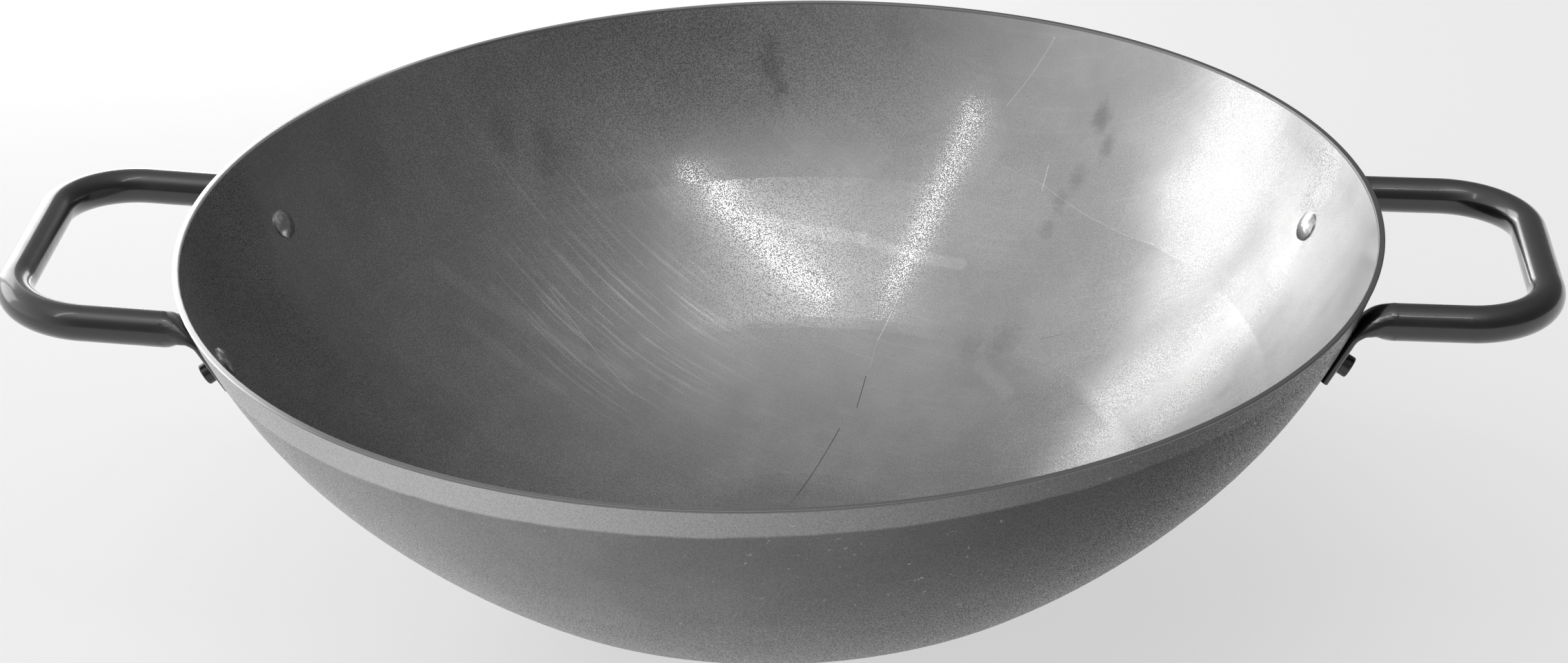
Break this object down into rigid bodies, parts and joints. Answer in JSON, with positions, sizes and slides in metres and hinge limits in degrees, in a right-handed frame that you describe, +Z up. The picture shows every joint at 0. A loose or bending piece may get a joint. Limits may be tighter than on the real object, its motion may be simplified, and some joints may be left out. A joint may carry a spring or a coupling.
{
  "type": "carbon steel wok",
  "caption": "Deep round wok spun from bare carbon steel sheet, with a bent tube handle riveted to each side.",
  "frame": {"origin": "middle of the flat underside, on the surface that the wok stands on", "axes": "+Z up along the bowl's axis; X runs through the two handles, the left handle on -X; Y runs across"},
  "size_m": [0.5146, 0.3996, 0.1303],
  "materials": {
    "bare_carbon_steel": "spun and scoured bare carbon steel, satin, lightly stained",
    "black_enamelled_tube": "gloss black enamel on steel tube",
    "steel_rivet": "plain steel, cold headed, slightly dull"
  },
  "bodies": {
    "root": {"bowl": "bare_carbon_steel", "left_handle": "black_enamelled_tube", "right_handle": "black_enamelled_tube", "left_rear_rivet": "steel_rivet", "left_front_rivet": "steel_rivet", "right_rear_rivet": "steel_rivet", "right_front_rivet": "steel_rivet"}
  },
  "joints": []
}
